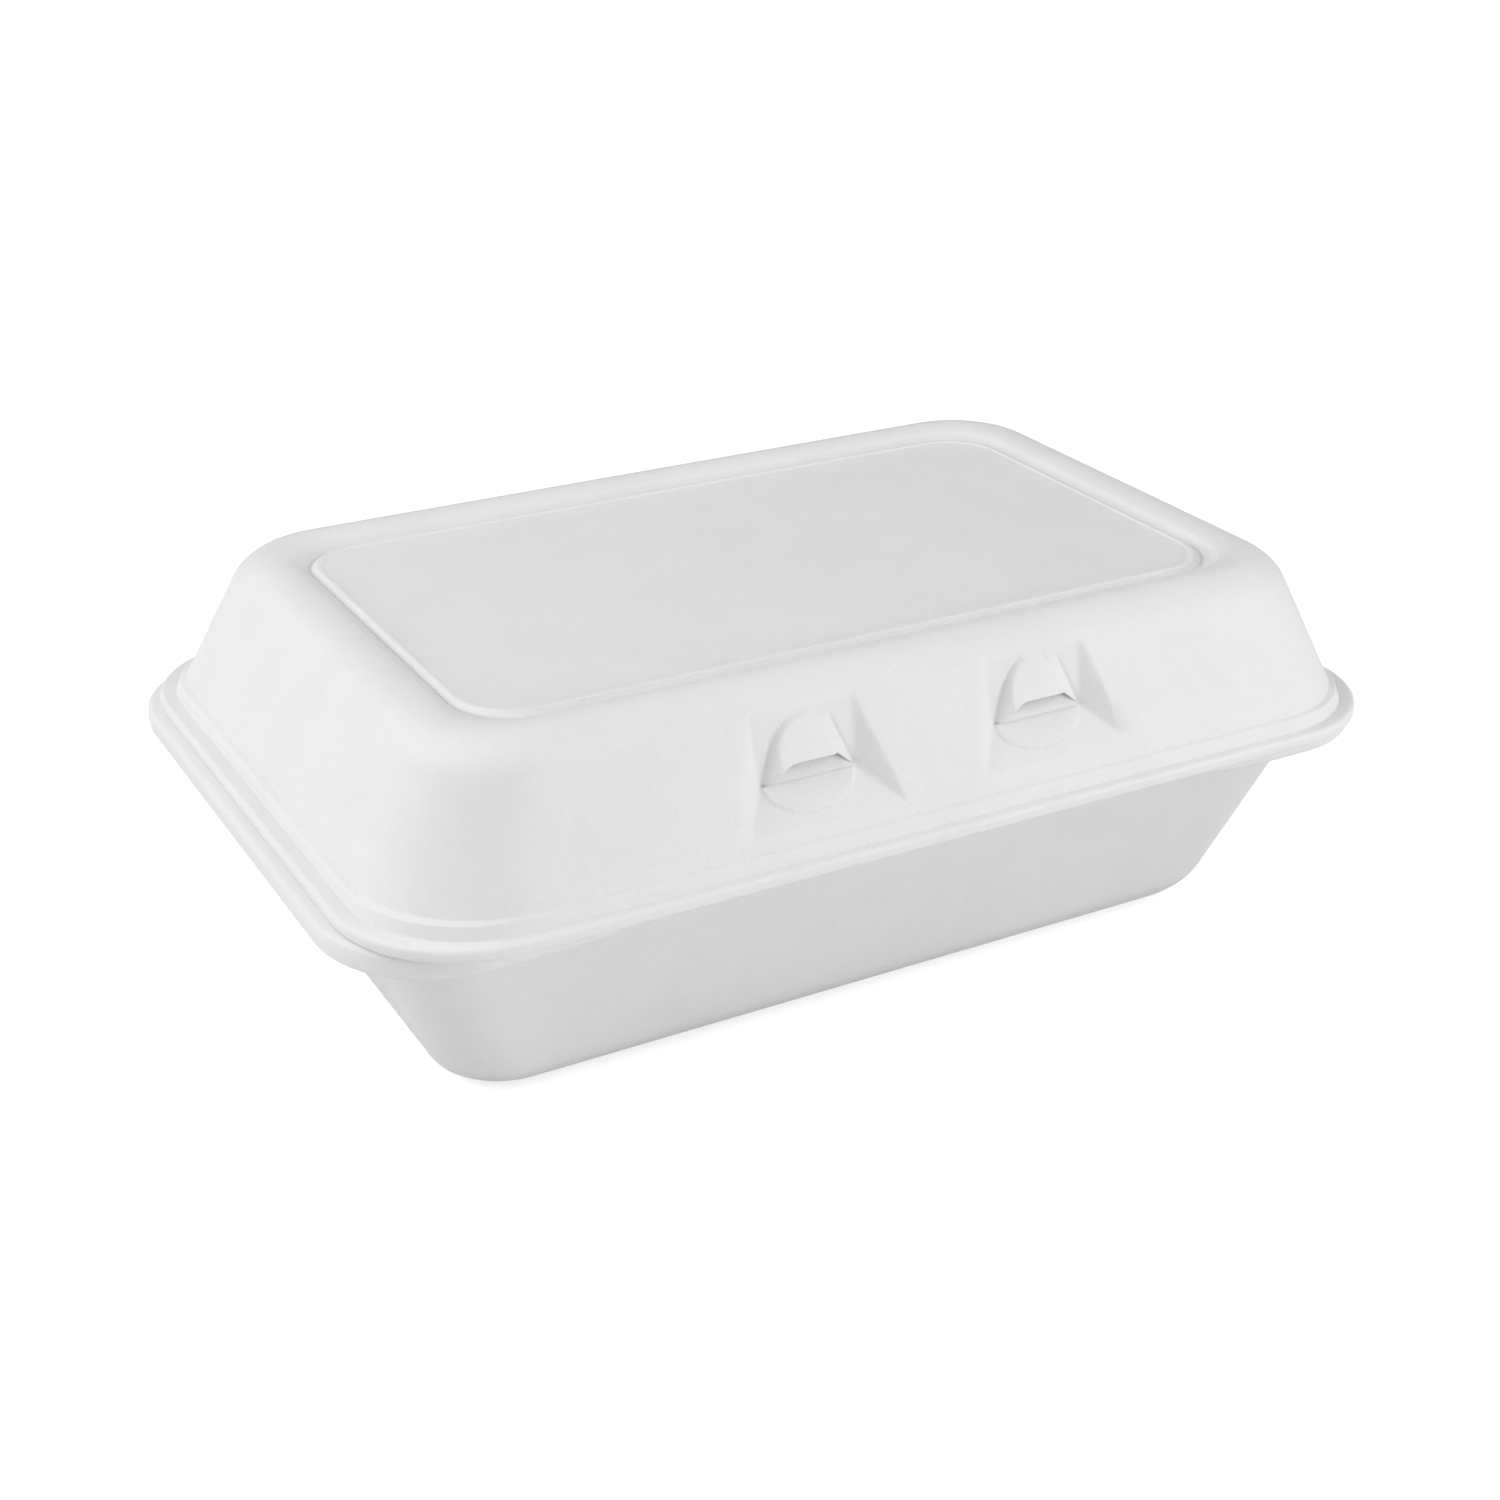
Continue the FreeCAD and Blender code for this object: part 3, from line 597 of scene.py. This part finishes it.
# The tongues: two strips of the tray's own sheet, moulded with it, that stand on its front rim. Each leans
# in behind the lid's wall and is made as it stands with the lid shut, its catch filling the lock's mouth;
# the real strip bends back as the lid shuts and snaps out.
tongue_half = 8.6
tongue_lean = math.tan(math.radians(18.0))
tongue_root = (-70.19, rim_level - 0.35)
neck_drop = 0.85
shelf_drop = 0.3
shelf_recess = 0.35
shelf_stops = (-0.25, 0.0, 0.05, 0.25)
catch_rise = 4.2
catch_reach = -0.45
catch_fall = 1.5
catch_margins = (-0.05, 0.7)
corner_fullness = 1.35
tongue_levels = (9, 12)
tongue_ring = 64


def tongue_mesh(middle, crease_z):
    """Each ring is a level, a rectangle with round corners: a circle stretched by corner_fullness and
    cut off square. The strip's half width is tongue_half up to the neck, and follows the mouth's
    slopes over it. Over the shelf the face starts level with the crease and falls back to the
    strip by the share (height / catch's height) ^ catch_fall."""
    neck, shelf, tip = crease_z - neck_drop, crease_z - shelf_drop, crease_z + catch_rise
    stops = [shelf + stop for stop in shelf_stops]
    top = stops[-1] + (tip - stops[-1]) * np.sin(np.linspace(0, math.pi / 2, tongue_levels[1])[1:])
    z = np.concatenate([np.linspace(tongue_root[1], neck, tongue_levels[0]), stops, top])[:, None]
    wall = tongue_root[0] + (z - tongue_root[1]) * tongue_lean
    fall = np.clip((z - shelf) / (tip - shelf), 0, 1) ** catch_fall
    catch = wall_at(crease_z) + crease_depth + catch_reach
    face = catch * (1 - fall) + wall * fall + shelf_recess * (z <= shelf)
    face = np.where(z >= shelf, face, wall)
    back = wall + sheet
    left, right = [np.where(z > neck, crease_half + margin - (z - crease_z).clip(0) * slope / mouth_height,
                            tongue_half) for margin, slope in zip(catch_margins, mouth_slopes)]
    turn = np.linspace(0, 2 * math.pi, tongue_ring, endpoint=False)[None, :]
    square_cos, square_sin = [np.clip(wave(turn) * corner_fullness, -1, 1) for wave in (np.cos, np.sin)]
    edge = (back - face) / 2
    x = middle + (right - left) / 2 + ((left + right) / 2 - edge) * square_cos + edge * np.cos(turn)
    y = (back + face) / 2 + edge * square_sin
    mesh = grid_mesh("tongue", np.stack([x, y, z + 0 * x], -1)[::-1])
    mesh.set_sharp_from_angle(angle=sharp_edge)
    return mesh


for middle, crease_z in zip(lock_middles, crease_levels):
    tongue = foam_piece("tongue", tongue_mesh(middle, crease_z))
    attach(tongue, "base")


# The fold: the sheet crushed thin along the rear rim, where the lid bends back from the tray. It is
# the same foam, pressed hard, with the fine wrinkles that the press leaves in it.
fold_half = 85.0
fold_width = 2.6
fold_thickness = 0.5
fold_slack = 0.08
fold_taper = (0.8, 6.0, 0.1)
fold_stops = 121
fold_ring = 24
fold_squareness = (1.2, 1.4)
wrinkle = 0.05
wrinkle_waves = ((1.0, 1.9, 0.0), (0.7, 3.1, 1.0))


def fold_mesh():
    """A flat strip carried along the rear rim: each row is a flattened ring across it, narrower at
    the ends, and its upper side rises and falls by the sum of two sine waves."""
    x = np.linspace(-fold_half, fold_half, fold_stops)[:, None]
    turn = np.linspace(0, 2 * math.pi, fold_ring, endpoint=False)[None, :]
    taper = np.sqrt(np.clip((fold_half + fold_taper[0] - np.abs(x)) / fold_taper[1], fold_taper[2], 1.0))
    across = np.clip(np.cos(turn) * fold_squareness[0], -1, 1)
    upper = np.clip(np.sin(turn) * fold_squareness[1], -1, 1)
    waves = sum(share * np.sin(x * pace + start) for share, pace, start in wrinkle_waves)
    y = tray_reaches[2] - fold_width / 2 + fold_width / 2 * taper * across
    rise = (fold_thickness / 2 - fold_slack) * upper + wrinkle * waves * (upper > 0)
    z = seat_level - fold_thickness / 2 + rise * taper
    return grid_mesh("fold", np.stack([x + 0 * y, y, z], -1))


fold = foam_piece("fold", fold_mesh())
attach(fold, "base")


# The studio: a white paper table that fades into a white background, under six large soft lights,
# three on the left and three on the right towards the front.
floor_half = 6.0
paper_white = (0.80, 0.80, 0.80, 1.0)
paper_roughness = 0.9
near_glow = (0.6, 0.6, 0.6, 1.0)
far_glow = (1.0, 1.0, 1.0, 1.0)
glow_range = (0.2, 0.5)
sky_strength = 0.24
lights_face = Vector((0, 0, 0.04))

floor_mesh = bpy.data.meshes.new("floor")
floor_corners = [(u * floor_half, v * floor_half, 0) for u, v in ((-1, -1), (1, -1), (1, 1), (-1, 1))]
floor_mesh.from_pydata(floor_corners, [], [(0, 1, 2, 3)])
floor = bpy.data.objects.new("floor", floor_mesh)
bpy.context.collection.objects.link(floor)
paper = bpy.data.materials.new("paper")
paper.use_nodes = True
paper_tree = paper.node_tree
paper_shader = paper_tree.nodes["Principled BSDF"]
paper_shader.inputs["Base Color"].default_value = paper_white
paper_shader.inputs["Roughness"].default_value = paper_roughness
wire = Wire(paper_tree, None)
seen = wire.node("ShaderNodeLightPath", output=0)
place = wire.node("ShaderNodeTexCoord", output=3)
away = wire.node("ShaderNodeVectorMath", {"operation": "LENGTH"}, output=1, _0=place)
glow = wire.node("ShaderNodeMix", {"data_type": "RGBA"}, output=2, _0=ramp(away, *glow_range),
                 _6=near_glow, _7=far_glow)
paper_tree.links.new(glow.socket, paper_shader.inputs["Emission Color"])
paper_tree.links.new(seen.socket, paper_shader.inputs["Emission Strength"])
floor_mesh.materials.append(paper)

world = bpy.data.worlds.new("studio")
world.use_nodes = True
bpy.context.scene.world = world
sky = world.node_tree.nodes["Background"]
sky.inputs["Color"].default_value = (1.0, 1.0, 1.0, 1.0)
sky.inputs["Strength"].default_value = sky_strength


def square_light(name, place, power, width):
    """A soft square light that faces the box."""
    data = bpy.data.lights.new(name, "AREA")
    data.size = width
    data.energy = power
    light = bpy.data.objects.new(name, data)
    light.location = place
    light.rotation_euler = (lights_face - Vector(place)).to_track_quat("-Z", "Y").to_euler()
    bpy.context.collection.objects.link(light)


square_light("upper_left", (-0.8, 0.0, 1.1), 6.1, 1.1)
square_light("left", (-1.35, 0.25, 0.45), 3.4, 0.7)
square_light("upper_left_back", (-0.7, 0.6, 1.0), 5.3, 1.1)
square_light("front_right_low", (0.75, -1.1, 0.3), 6.7, 0.7)
square_light("right_front", (1.2, -0.6, 0.5), 2.2, 0.7)
square_light("upper_front_right", (0.6, -0.7, 1.0), 2.3, 0.7)

bpy.context.scene.view_settings.view_transform = "Standard"
